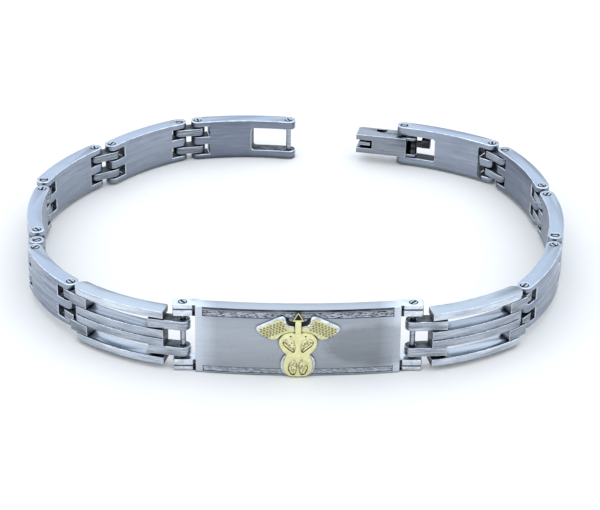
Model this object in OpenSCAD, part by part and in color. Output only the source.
// Steel identification bracelet, unfastened and standing on its edge.
// The plate is at the front and faces -Y, the two clasp ends are at the back, and +Z is up.
// Every piece of the band is drawn along +X from its first pin and bowed towards -Y, then seated
// along the band's route. A piece on the left side is the mirror image of one drawn for the right.

/* [Identification plate] */
// Distance between the plate's two pins
plate_pitch = 31.06; // [28.6:0.01:34]
// Width of the plate's front face
plate_w = 27.7; // [24:0.1:28.4]
// Height of the plate
plate_h = 10.2; // [9.4:0.1:13]
// Thickness of the plate
plate_t = 1.9; // [1.5:0.1:2.5]
// How far the plate's middle stands out past its ends
plate_bow = 0.95; // [0.5:0.05:1.5]
// Distance from the pins' line to the front of the plate's middle
plate_front = 2.3; // [2:0.05:2.8]
// Height of each ear at the plate's corners
ear_h = 1.7; // [1.2:0.1:2.1]
// Thickness of the ears
ear_t = 1.8; // [1.4:0.1:2.2]
// How far the ears reach past the pin
ear_end = 1.35; // [1:0.05:1.6]
// Height of the groove across each ear's front
ear_groove_h = 0.24; // [0.1:0.02:0.4]

/* [Emblem] */
// Width of the emblem over its wings
emblem_w = 11.0; // [8:0.1:14]
// Height of the emblem
emblem_h = 10.0; // [7:0.1:10.2]
// Thickness of the emblem
emblem_t = 0.6; // [0.3:0.05:1]

/* [Plain links] */
// Distance between the two pins of a plain link
link_pitch = 13.2; // [10:0.1:16]
// Distance between the pins of the first plain link on the left
first_link_pitch = 11.6; // [9:0.1:14]
// Height of the plain links
link_h = 6.5; // [6.1:0.1:7.5]
// Thickness of the plain links
link_t = 2.2; // [1.8:0.1:2.7]
// How far a plain link bows outwards
link_bow = 0.7; // [0.3:0.05:1.2]
// Height of one slot in a plain link
slot_h = 1.75; // [1.5:0.05:1.9]
// Height of the web between a plain link's slots
web_h = 1.3; // [0.9:0.05:1.5]
// How far a slot reaches past its pin into the link
slot_depth = 1.75; // [1.5:0.05:2.5]

/* [End links] */
// Distance between the two pins of the left end link
left_end_pitch = 14.6; // [12:0.1:17]
// Distance between the two pins of the right end link
right_end_pitch = 15.0; // [12.5:0.1:18]
// Height of the window in both end links
window_h = 3.8; // [3.5:0.1:4.2]
// How far the left window reaches inwards from its cross pin
left_window = 5.8; // [4.5:0.1:7]
// How far the right window reaches inwards from the clasp pin
right_window = 5.3; // [4.8:0.1:7]
// Radius of the window's inner corners
window_corner = 0.45; // [0.2:0.05:0.8]

/* [Bar links] */
// Distance between the two hidden pins of a bar link
bar_link_pitch = 10.75; // [8:0.05:13]
// Overall height of a bar link
bar_link_h = 8.2; // [7.9:0.1:8.8]
// How far the bar links hang below the middle of the band
bar_link_drop = 0.25; // [0:0.05:0.3]
// Height of the top and bottom rails
outer_rail_h = 1.05; // [0.9:0.05:1.2]
// Height of the middle rail
middle_rail_h = 2.5; // [2.2:0.05:2.6]
// Thickness of the rails
rail_t = 2.4; // [2:0.1:2.5]
// How far the rails bow outwards
rail_bow = 0.5; // [0.3:0.05:0.8]
// How far the rails' flat ends reach past the pin that is nearest to the plate
rail_plate_end = 1.7; // [1.4:0.05:2]
// How far the rails' round ends reach past the other pin
rail_link_end = 1.85; // [1.5:0.05:1.9]
// Width of the groove along the middle rail
groove_w = 0.22; // [0.1:0.02:0.4]
// Depth of the groove along the middle rail
groove_depth = 0.18; // [0.1:0.02:0.3]

/* [Connectors] */
// Distance between the two pins of a connector bar
bar_pitch = 3.0; // [2.8:0.05:3.5]
// The same beside a bar link
long_bar_pitch = 3.7; // [3.4:0.05:4.2]
// Height of a connector bar
bar_h = 1.15; // [0.9:0.05:1.2]
// Distance between the two pins of a prong beside the plate
prong_pitch = 4.1; // [3.8:0.05:4.6]
// Height of a prong
prong_h = 1.35; // [1.1:0.05:1.4]
// Thickness of the prongs
prong_t = 2.1; // [1.8:0.1:2.2]
// How far the bars reach past their pins inside a bar link
bar_inner_end = 0.6; // [0.5:0.05:0.8]
// Distance from the half link's knuckle to the first left link's pin
half_to_first = 2.3; // [2.25:0.05:2.6]
// Distance from the half link's knuckle to the second left link's pin
half_to_second = 3.2; // [2.9:0.05:3.6]

/* [Pins] */
// Radius of the pins' shafts
pin_r = 0.4; // [0.3:0.02:0.45]
// Radius of the pins' heads
pin_head_r = 0.57; // [0.52:0.01:0.68]
// Thickness of the pins' heads
pin_head_t = 0.3; // [0.2:0.05:0.4]
// Clearance round the pins and between neighbouring pieces
clearance = 0.05; // [0.03:0.01:0.07]
// Depth of a hidden pin's blind hole in the outer rails
blind_depth = 0.6; // [0.4:0.05:0.7]

/* [Clasp] */
// Length of the tongue past its pin
tongue_length = 7.5; // [6.5:0.1:9]
// Height of the tongue
tongue_h = 3.2; // [2.8:0.1:3.4]
// Distance from the clasp pin to the tongue's outer face
tongue_out = 1.05; // [0.95:0.05:1.1]
// Distance from the clasp pin to the tongue's inner face
tongue_in = 1.85; // [1.8:0.05:2.1]
// Thickness of the tongue's cheeks and of its lip
tongue_wall = 0.4; // [0.3:0.05:0.45]
// How far the lip reaches back past the clasp pin
tongue_lip = 0.6; // [0.2:0.05:0.6]
// Distance from the clasp pin to the middle of the tongue's notch
notch_at = 3.7; // [3.2:0.1:3.8]
// Radius of the notch, which takes the left end's cross pin
notch_r = 0.88; // [0.6:0.02:0.95]
// Depth of the notch
notch_depth = 1.15; // [1:0.05:1.3]
// Distance from the clasp pin to the slot in the tongue's free end
end_slot_at = 4.9; // [4.8:0.05:5.2]
// Height of the slot in the free end
end_slot_h = 1.4; // [1.2:0.05:1.6]
// Distance from the clasp pin back to the lever's pin
lever_back = 1.65; // [1.6:0.05:1.8]
// Distance from the clasp pin to the lever's pin, towards the wrist
lever_in = 0.8; // [0.75:0.01:0.82]
// Radius of the lever's pin
lever_pin_r = 0.33; // [0.25:0.01:0.36]
// Thickness of the lever's leaf, which lies along the tongue's outer face
leaf_t = 0.35; // [0.25:0.05:0.4]
// Gap between the leaf and the tongue
leaf_gap = 0.1; // [0.08:0.02:0.2]
// Height of the leaf
leaf_h = 3.0; // [2.6:0.1:3.2]
// Length of the leaf past the clasp pin
leaf_length = 7.2; // [7:0.1:7.4]
// Length of the lever's nose in the slot
nose_length = 1.8; // [1.5:0.05:1.9]
// Height of the nose
nose_h = 0.86; // [0.6:0.02:0.9]
// How far the lever's tail reaches back from the clasp pin
tail_back = 4.4; // [4:0.1:4.5]
// Height of the tail
tail_h = 1.45; // [1.2:0.05:1.5]

/* [Hidden] */
// Headings of the band's pieces in degrees, from straight sideways towards the back. Each row runs
// from the plate's pin to the clasp: prong, bar link, long bar, then links and bars in turn.
LEFT_ROUTE = [12, 29.5, 48.5, 59.5, 90.5, 84.5, 88, 89, 121, 150.5, 141, 168, 179];
RIGHT_ROUTE = [5, 27, 52.5, 65.5, 80, 88.5, 98.5, 109.5, 126, 154];
// Heading of the clasp's tongue
TONGUE_HEADING = 167;

// Length of the half link's first part, at least enough for its knuckle to clear the first link
half_first = max(half_to_first, link_t + 2 * clearance);

LEFT_PITCHES = [
    prong_pitch, bar_link_pitch, long_bar_pitch, first_link_pitch, half_first, half_to_second,
    link_pitch, bar_pitch, link_pitch, bar_pitch, link_pitch, bar_pitch, left_end_pitch
];
RIGHT_PITCHES = [
    prong_pitch, bar_link_pitch, long_bar_pitch, link_pitch, bar_pitch,
    link_pitch, bar_pitch, link_pitch, bar_pitch, right_end_pitch
];

// Tables of the pieces: name, number of the piece's first pin, and what differs
LEFT_LINKS = [["left_link_1", 3, first_link_pitch], ["left_link_2", 6, link_pitch],
    ["left_link_3", 8, link_pitch], ["left_link_4", 10, link_pitch]];
RIGHT_LINKS = [["right_link_1", 3, link_pitch], ["right_link_2", 5, link_pitch],
    ["right_link_3", 7, link_pitch]];
LEFT_BARS = [["left_bar_1", 7], ["left_bar_2", 9], ["left_bar_3", 11]];
RIGHT_BARS = [["right_bar_1", 4], ["right_bar_2", 6], ["right_bar_3", 8]];
LEFT_JOINTS = [["left_pins_1", 2, 3], ["left_pins_2", 4, 6], ["left_pins_3", 7, 8], ["left_pins_4", 9, 10],
    ["left_pins_5", 11, 12]];
RIGHT_JOINTS = [["right_pins_1", 2, 3], ["right_pins_2", 4, 5], ["right_pins_3", 6, 7],
    ["right_pins_4", 8, 9]];
SIDES = ["left", "right"];
ROWS = [["top", 1], ["bottom", -1]];

// One piece's name, or all of them
$fn = 48;

// Sizes that follow the ones above
cut = 1;
bore_r = pin_r + clearance;
slot_mid = (web_h + slot_h) / 2;
rail_slot_top = bar_link_h / 2 - outer_rail_h;
prong_mid = middle_rail_h / 2 + 2 * clearance + prong_h / 2;
bar_end_h = rail_slot_top - middle_rail_h / 2 - 4 * clearance;
bar_end_mid = (middle_rail_h / 2 + rail_slot_top) / 2;
long_bar_h = slot_h - 9 * clearance;
long_bar_mid = web_h / 2 + slot_h - clearance - long_bar_h / 2;
plate_r = (pow(plate_w / 2, 2) + pow(plate_bow, 2)) / (2 * plate_bow);
plate_middle = [0, plate_r - plate_front];
ear_middle = -0.1;
groove_at = plate_h / 2 - 0.42 * ear_h;
lever_r = lever_pin_r + clearance + 0.24;
cheek_r = lever_r;
nose_at = end_slot_at + 0.3;

// The band's route

// Place of pin number i of one side, drawn for the right side
function pin_at(pitches, route, i) = i == 0
    ? [plate_pitch / 2, 0]
    : pin_at(pitches, route, i - 1) + pitches[i - 1] * [cos(route[i - 1]), sin(route[i - 1])];
function pin_of(side, i) = side == "left"
    ? pin_at(LEFT_PITCHES, LEFT_ROUTE, i)
    : pin_at(RIGHT_PITCHES, RIGHT_ROUTE, i);
function heading(side, i) = side == "left"
    ? LEFT_ROUTE[min(i, len(LEFT_ROUTE) - 1)]
    : RIGHT_ROUTE[min(i, len(RIGHT_ROUTE) - 1)];

// Outermost point of a link between pin i and the next one
function crown(side, i) =
    let (a = pin_of(side, i), b = pin_of(side, i + 1), along = (b - a) / norm(b - a))
    (a + b) / 2 + (link_bow + link_t / 2) * [along[1], -along[0]];
CROWNS_LEFT = [for (i = [3, 6, 8, 10, 12]) crown("left", i)];
CROWNS_RIGHT = [for (i = [3, 5, 7, 9]) crown("right", i)];
band_left = -max([for (p = CROWNS_LEFT) p[0]]);
band_right = max([for (p = CROWNS_RIGHT) p[0]]);
band_back = max([for (p = concat(CROWNS_LEFT, CROWNS_RIGHT)) p[1]]);
band_front = -(plate_front + clearance + emblem_t);

// The plate is taller than the links, so the band leans back until its farthest link touches down
plate_back = ear_middle + ear_t / 2;
lean = atan((plate_h - link_h) / 2 / (band_back - plate_back));

// Stands the band on its lowest edges, with the middle of its box over the origin
module stand() {
    back_y = band_back * cos(lean) + link_h / 2 * sin(lean);
    front_y = band_front * cos(lean) - emblem_h / 2 * sin(lean);
    floor_z = -plate_h / 2 * cos(lean) - plate_back * sin(lean);
    translate([-(band_left + band_right) / 2, -(front_y + back_y) / 2, -floor_z])
        rotate([-lean, 0, 0])
            children();
}

// Seats a piece with its first pin at pin i of a side, and turns it along the route
module seat(side, i) {
    mirror([side == "left" ? 1 : 0, 0, 0])
        translate(pin_of(side, i))
            rotate([0, 0, heading(side, i)])
                children();
}

// Outlines of curved pieces

// Radius of an arc through two points a chord apart with a given bow, and half of its angle
function arc_r(chord, bow) = (pow(chord / 2, 2) + bow * bow) / (2 * bow);
function arc_half(chord, bow) = asin(chord / 2 / arc_r(chord, bow));
// Points along an arc about a middle, from one angle to another
function arc(middle, r, from, to, steps) = [
    for (k = [0:steps]) let (a = from + (to - from) * k / steps) middle + r * [cos(a), sin(a)]
];
// The same without its two end points
function inner_arc(middle, r, from, to, steps) = [
    for (k = [1:steps - 1]) let (a = from + (to - from) * k / steps) middle + r * [cos(a), sin(a)]
];

// Curved strip through both pins, with a full round end at each of them
module round_strip(chord, t, bow) {
    r = arc_r(chord, bow);
    half = arc_half(chord, bow);
    middle = [chord / 2, r - bow];
    polygon(concat(
        arc(middle, r + t / 2, -90 - half, -90 + half, 16),
        inner_arc([chord, 0], t / 2, half - 90, half + 90, 14),
        arc(middle, r - t / 2, -90 + half, -90 - half, 16),
        inner_arc([0, 0], t / 2, 90 - half, 270 - half, 14)
    ));
}

// Curved strip along the same arc, from before its first pin to past its second, with the far end
// flat or round
module arc_strip(chord, t, bow, past_first, past_second, round_end) {
    r = arc_r(chord, bow);
    half = arc_half(chord, bow);
    middle = [chord / 2, r - bow];
    from = -90 - half - past_first / r * 180 / PI;
    to = -90 + half + (round_end ? past_second - t / 2 : past_second) / r * 180 / PI;
    polygon(concat(
        arc(middle, r + t / 2, from, to, 16),
        round_end ? inner_arc(middle + r * [cos(to), sin(to)], t / 2, to, to + 180, 14) : [],
        arc(middle, r - t / 2, to, from, 16)
    ));
}

// Straight bar with round ends at two pins
module round_bar(pitch, t, h) {
    linear_extrude(h, center = true) {
        translate([0, -t / 2]) square([pitch, t]);
        circle(t / 2);
        translate([pitch, 0]) circle(t / 2);
    }
}

// Bores through a piece at two pins
module bores(pitch, h) {
    for (x = [0, pitch])
        translate([x, 0, 0]) cylinder(h + 2 * cut, bore_r, bore_r, center = true);
}

// Bore with a seat for the pin's head at both ends
module headed_bore(h) {
    seat_h = pin_head_t + clearance + cut;
    cylinder(h + 2 * cut, bore_r, bore_r, center = true);
    for (side = [1, -1])
        translate([0, 0, side * (h / 2 + cut - seat_h / 2)])
            cylinder(seat_h, pin_head_r + clearance, pin_head_r + clearance, center = true);
}

// Two open slots at a pin, from the end of the link to the slots' depth
module slots() {
    for (z = [slot_mid, -slot_mid])
        translate([-link_t, -link_t, z - slot_h / 2])
            cube([link_t + slot_depth, 2 * link_t, slot_h]);
}

// Opening between two ears at a pin, with round inner corners
module window(reach) {
    rotate([90, 0, 0])
        linear_extrude(3 * link_t, center = true) {
            translate([-link_t, -window_h / 2]) square([link_t + reach - window_corner, window_h]);
            translate([0, -window_h / 2 + window_corner]) square([reach, window_h - 2 * window_corner]);
            for (z = [1, -1])
                translate([reach - window_corner, z * (window_h / 2 - window_corner)]) circle(window_corner);
        }
}

// Links

// Body of a link: a curved strip with headed bores at both pins
module link_body(pitch) {
    difference() {
        linear_extrude(link_h, center = true) round_strip(pitch, link_t, link_bow);
        headed_bore(link_h);
        translate([pitch, 0, 0]) headed_bore(link_h);
    }
}

// Link with slots at both ends
module plain_link(pitch) {
    half = arc_half(pitch, link_bow);
    color("lightsteelblue") difference() {
        link_body(pitch);
        rotate([0, 0, -half]) slots();
        translate([pitch, 0, 0]) rotate([0, 0, 180 + half]) slots();
    }
}

// Link with slots at its first pin and an open window at its second
module end_link(pitch, reach) {
    half = arc_half(pitch, link_bow);
    color("lightsteelblue") difference() {
        link_body(pitch);
        rotate([0, 0, -half]) slots();
        translate([pitch, 0, 0]) rotate([0, 0, 180 + half]) window(reach);
    }
}

// One rail of a bar link, less what is given for its holes
module rail(h) {
    translate([0, 0, -bar_link_drop])
        difference() {
            linear_extrude(h, center = true)
                arc_strip(bar_link_pitch, rail_t, rail_bow, rail_plate_end, rail_link_end, true);
            children();
        }
}

// Top rail of a bar link, or its bottom rail where up is -1, with blind holes for the hidden pins
module outer_rail(up) {
    hole_h = blind_depth + cut;
    color("lightsteelblue") translate([0, 0, up * (bar_link_h - outer_rail_h) / 2])
        rail(outer_rail_h)
            for (x = [0, bar_link_pitch])
                translate([x, 0, up * (blind_depth - outer_rail_h / 2 - hole_h / 2)])
                    cylinder(hole_h, bore_r, bore_r, center = true);
}

// Middle rail of a bar link, with a groove along its outer face
module middle_rail() {
    reach = rail_link_end + cut;
    color("lightsteelblue")
        rail(middle_rail_h) {
            bores(bar_link_pitch, middle_rail_h);
            linear_extrude(groove_w, center = true)
                translate([0, groove_depth - rail_t])
                    arc_strip(bar_link_pitch, rail_t, rail_bow, rail_plate_end + cut, reach, false);
        }
}

// Connectors and pins

// Bar that joins two pieces, one of two at each joint
module connector(pitch, h, mid) {
    color("silver") translate([0, 0, mid])
        difference() {
            round_bar(pitch, link_t, h);
            bores(pitch, h);
        }
}

// Bar between a bar link and the next link. Its end fills the bar link's slot and follows its arc,
// and the rest is lower, to enter the next link's slot.
module long_bar(side, up) {
    turn = heading(side, 2) - heading(side, 1);
    start = rail_link_end + 2 * clearance;
    color("silver") difference() {
        union() {
            translate([0, 0, up * bar_end_mid - bar_link_drop])
                linear_extrude(bar_end_h, center = true)
                    intersection() {
                        arc_strip(bar_link_pitch, rail_t, rail_bow, 0, start + 0.35, false);
                        translate([bar_link_pitch - bar_inner_end, -rail_t]) square(3 * rail_t);
                    }
            translate([bar_link_pitch, 0, up * long_bar_mid]) rotate([0, 0, turn])
                linear_extrude(long_bar_h, center = true) {
                    translate([start, -link_t / 2]) square([long_bar_pitch - start, link_t]);
                    translate([long_bar_pitch, 0]) circle(link_t / 2);
                }
        }
        translate([bar_link_pitch, 0, 0]) cylinder(bar_link_h, bore_r, bore_r, center = true);
        translate([bar_link_pitch, 0, 0]) rotate([0, 0, turn]) translate([long_bar_pitch, 0, 0])
            cylinder(bar_link_h, bore_r, bore_r, center = true);
    }
}

// Bar between the plate's ears and a bar link
module prong(up) {
    color("silver") translate([0, 0, up * prong_mid - bar_link_drop])
        difference() {
            linear_extrude(prong_h, center = true) {
                circle(prong_t / 2);
                translate([0, -prong_t / 2]) square([prong_pitch + bar_inner_end, prong_t]);
            }
            bores(prong_pitch, prong_h);
        }
}

// Two bent bars joined by a full-height knuckle, drawn from the first left link's pin
module half_link() {
    turn = LEFT_ROUTE[5] - LEFT_ROUTE[4];
    color("lightsteelblue") difference() {
        union() {
            for (z = [slot_mid, -slot_mid]) translate([0, 0, z]) {
                round_bar(half_first, link_t, bar_h);
                translate([half_first, 0, 0]) rotate([0, 0, turn])
                    round_bar(half_to_second, link_t, bar_h);
            }
            translate([half_first, 0, 0]) cylinder(link_h, link_t / 2, link_t / 2, center = true);
        }
        cylinder(link_h, bore_r, bore_r, center = true);
        translate([half_first, 0, 0]) headed_bore(link_h);
        translate([half_first, 0, 0]) rotate([0, 0, turn]) translate([half_to_second, 0, 0])
            cylinder(link_h, bore_r, bore_r, center = true);
    }
}

// Pin with a slotted head at both ends, flush with a piece of height h
module headed_pin(h, turn) {
    color("gainsboro") difference() {
        union() {
            cylinder(h - pin_head_t, pin_r, pin_r, center = true);
            for (side = [1, -1])
                translate([0, 0, side * (h - pin_head_t) / 2])
                    cylinder(pin_head_t, pin_head_r, pin_head_r, center = true);
        }
        for (side = [1, -1])
            translate([0, 0, side * h / 2]) rotate([0, 0, turn])
                cube([3 * pin_head_r, pin_head_r / 4, pin_head_t], center = true);
    }
}

// Plain pin whose ends are hidden in the outer rails
module hidden_pin() {
    h = 2 * (rail_slot_top + blind_depth - clearance);
    color("gainsboro") translate([0, 0, -bar_link_drop]) cylinder(h, pin_r, pin_r, center = true);
}

// One pin of a joint, hidden where it is in a bar link
module joint_pin(side, i) {
    seat(side, i)
        if (i == 2) hidden_pin();
        else headed_pin(link_h, 50 * i + 20);
}

// The pin in the plate's ears and the hidden one at the other end of the prongs
module plate_pins(side) {
    seat(side, 0) headed_pin(plate_h, 40);
    seat(side, 1) hidden_pin();
}

// Plate and emblem

// Plate with two ears on each side
module id_plate() {
    half = asin(plate_w / 2 / plate_r);
    color("gainsboro") difference() {
        union() {
            linear_extrude(plate_h, center = true)
                polygon(concat(
                    arc(plate_middle, plate_r, -90 - half, -90 + half, 24),
                    arc(plate_middle, plate_r - plate_t, -90 + half, -90 - half, 24)
                ));
            for (side = [0, 1]) for (z = [1, -1])
                mirror([side, 0, 0]) translate([plate_pitch / 2, ear_middle, z * (plate_h - ear_h) / 2])
                    linear_extrude(ear_h, center = true) ear();
        }
        for (side = [1, -1]) translate([side * plate_pitch / 2, 0, 0]) headed_bore(plate_h);
        for (side = [1, -1]) for (z = [1, -1])
            translate([side * (plate_w / 2 + ear_t), ear_middle - ear_t / 2, z * groove_at])
                cube([2 * ear_t, ear_groove_h, ear_groove_h], center = true);
    }
}

// Outline of one ear, from inside the plate's edge to its end past the pin
module ear() {
    corner = 0.35;
    root = (plate_pitch - plate_w) / 2 + 0.5;
    translate([-root, -ear_t / 2]) square([root + ear_end - corner, ear_t]);
    translate([0, -ear_t / 2 + corner]) square([ear_end, ear_t - 2 * corner]);
    for (y = [1, -1]) translate([ear_end - corner, y * (ear_t / 2 - corner)]) circle(corner);
}

// Winged staff with two snakes, curved to the plate's face
module emblem() {
    back_r = plate_r + clearance;
    color("gold") intersection() {
        rotate([90, 0, 0]) emblem_front(2 * plate_front);
        translate([0, plate_middle[1], 0])
            difference() {
                cylinder(plate_h + cut, back_r + emblem_t, back_r + emblem_t, center = true, $fn = 720);
                cylinder(plate_h + 2 * cut, back_r, back_r, center = true, $fn = 720);
            }
    }
}

// Front view of the emblem at a given thickness, in shares of its half width and half height
module emblem_front(t) {
    scale_x = emblem_w / 2;
    scale_z = emblem_h / 2;
    wing = [[0.18, 0.8], [0.35, 0.87], [0.6, 0.82], [0.85, 0.66], [1, 0.46],
        [0.91, 0.3], [0.82, 0.2], [0.64, 0.15], [0.47, 0.17], [0.25, 0.28]];
    last = len(wing) - 1;
    linear_extrude(t) polygon(concat(
        [for (p = wing) [p[0] * scale_x, p[1] * scale_z]],
        [for (k = [0:last]) [-wing[last - k][0] * scale_x, wing[last - k][1] * scale_z]]
    ));
    linear_extrude(t)
        polygon([[-0.15 * scale_x, 0.78 * scale_z], [0.15 * scale_x, 0.78 * scale_z], [0, scale_z]]);
    linear_extrude(t) translate([-0.085 * scale_x, -scale_z]) square([0.17 * scale_x, 1.8 * scale_z]);
    linear_extrude(t) snake_loop(0.04 * scale_z, 0.48 * scale_x, 0.34 * scale_z);
    linear_extrude(t) snake_loop(-0.62 * scale_z, 0.39 * scale_x, 0.36 * scale_z);
}

// Ring that two snakes' bodies make about the staff, from its height, half width and half height
module snake_loop(z, half_w, half_h) {
    body = 0.075 * emblem_w;
    difference() {
        snake_oval(z, half_w, half_h);
        snake_oval(z, half_w - body, half_h - body);
    }
}
module snake_oval(z, half_w, half_h) {
    r = min(half_w, half_h);
    for (side = [1, -1])
        translate([side * (half_w - r), z + side * (half_h - r)]) circle(r);
    translate([r - half_w, z - half_h]) square([2 * max(half_w - r, 0.01), 2 * half_h]);
}

// Clasp. Its pieces are drawn from the clasp pin, with +X to the free end and +Y to the wrist's side.

// Seats a clasp piece at the right end link's second pin
module seat_clasp() {
    translate(pin_of("right", len(RIGHT_PITCHES)))
        rotate([0, 0, TONGUE_HEADING])
            children();
}

// Tongue that turns on the clasp pin. Its notch opens outwards, and its free end has a slot.
module clasp_tongue() {
    inside_h = tongue_h - 2 * tongue_wall;
    back = lever_back + cheek_r + cut;
    notch_y = notch_depth - tongue_out - notch_r;
    color("lightsteelblue") difference() {
        linear_extrude(tongue_h, center = true) {
            translate([0, -tongue_out]) square([tongue_length, tongue_out + tongue_in]);
            circle(tongue_out);
            translate([-tongue_lip, tongue_in - tongue_wall]) square([tongue_lip + cut, tongue_wall]);
            translate([-lever_back, lever_in - cheek_r]) square([lever_back, 2 * cheek_r]);
            translate([-lever_back, lever_in]) circle(cheek_r);
        }
        difference() {
            translate([-back, -tongue_out - cut, -inside_h / 2])
                cube([back, tongue_out + cut + tongue_in - tongue_wall, inside_h]);
            cylinder(tongue_h, tongue_out, tongue_out, center = true);
        }
        translate([end_slot_at, -2 * tongue_out, -end_slot_h / 2])
            cube([tongue_length, 2 * (tongue_out + tongue_in), end_slot_h]);
        translate([notch_at, notch_y, 0]) cylinder(tongue_h + cut, notch_r, notch_r, center = true);
        translate([notch_at - notch_r, -tongue_out - cut, -tongue_h / 2 - cut])
            cube([2 * notch_r, tongue_out + cut + notch_y, tongue_h + 2 * cut]);
        cylinder(tongue_h + cut, bore_r, bore_r, center = true);
        translate([-lever_back, lever_in, 0])
            cylinder(tongue_h + cut, lever_pin_r + clearance, lever_pin_r + clearance, center = true);
    }
}

// Catch lever. Its leaf closes the tongue's notch, its nose lies in the tongue's end slot, and its
// tail is in the end link's window.
module clasp_lever() {
    barrel_h = tongue_h - 2 * tongue_wall - 2 * clearance;
    leaf_y = -tongue_out - leaf_gap - leaf_t;
    web_w = 0.6;
    tail_t = 0.6;
    knob_l = 1.4;
    color("silver") difference() {
        union() {
            linear_extrude(leaf_h, center = true)
                translate([-lever_back - web_w / 2, leaf_y])
                    square([lever_back + web_w / 2 + leaf_length, leaf_t]);
            linear_extrude(barrel_h, center = true) {
                translate([-lever_back - web_w / 2, leaf_y + leaf_t / 2])
                    square([web_w, lever_in - leaf_y - leaf_t / 2]);
                translate([-lever_back, lever_in]) circle(lever_r);
            }
            translate([nose_at, leaf_y + leaf_t / 2, -nose_h / 2])
                cube([nose_length, tongue_in - leaf_y - leaf_t / 2 - nose_h / 2 - clearance, nose_h]);
            translate([nose_at, tongue_in - nose_h / 2 - clearance, 0]) rotate([0, 90, 0])
                cylinder(nose_length, nose_h / 2, nose_h / 2);
            translate([-tail_back + knob_l / 2, lever_in - tail_t / 2, 0])
                cube([tail_back - knob_l / 2 - lever_back, tail_t, tail_h - 0.4]);
            translate([-tail_back, lever_in - 1.5 * tail_t, -0.05])
                cube([knob_l, 2 * tail_t, tail_h]);
        }
        translate([-lever_back, lever_in, 0])
            cylinder(leaf_h, lever_pin_r + clearance, lever_pin_r + clearance, center = true);
    }
}

// Pin that the lever rocks on, held in the tongue's cheeks
module lever_pin() {
    color("gainsboro") translate([-lever_back, lever_in, 0])
        cylinder(tongue_h - clearance, lever_pin_r, lever_pin_r, center = true);
}

// The bracelet

stand() id_plate();
stand() emblem();
stand() seat("left", 4) half_link();
stand() seat("left", 12) end_link(left_end_pitch, left_window);  // left_end_link
stand() seat("right", 9) end_link(right_end_pitch, right_window);  // right_end_link
for (link = LEFT_LINKS)
    stand() seat("left", link[1]) plain_link(link[2]);
for (link = RIGHT_LINKS)
    stand() seat("right", link[1]) plain_link(link[2]);
for (side = SIDES) {
    stand() seat(side, 1) outer_rail(1);
    stand() seat(side, 1) middle_rail();
    stand() seat(side, 1) outer_rail(-1);
    stand() plate_pins(side);
}
for (side = SIDES) for (row = ROWS) {
    stand() seat(side, 0) prong(row[1]);
    stand() seat(side, 1) long_bar(side, row[1]);
}
for (side = SIDES) for (bar = side == "left" ? LEFT_BARS : RIGHT_BARS) for (row = ROWS)
    stand() seat(side, bar[1]) connector(bar_pitch, bar_h, row[1] * slot_mid);
for (side = SIDES) for (joint = side == "left" ? LEFT_JOINTS : RIGHT_JOINTS)
    stand() for (i = [joint[1], joint[2]]) joint_pin(side, i);
stand() seat("left", 5) headed_pin(link_h, 65);  // half_link_pin
stand() seat("left", 13) headed_pin(link_h, 60);  // clasp_cross_pin
stand() seat("right", 10) headed_pin(link_h, 15);  // clasp_hinge_pin
stand() seat_clasp() clasp_tongue();
stand() seat_clasp() clasp_lever();
stand() seat_clasp() lever_pin();
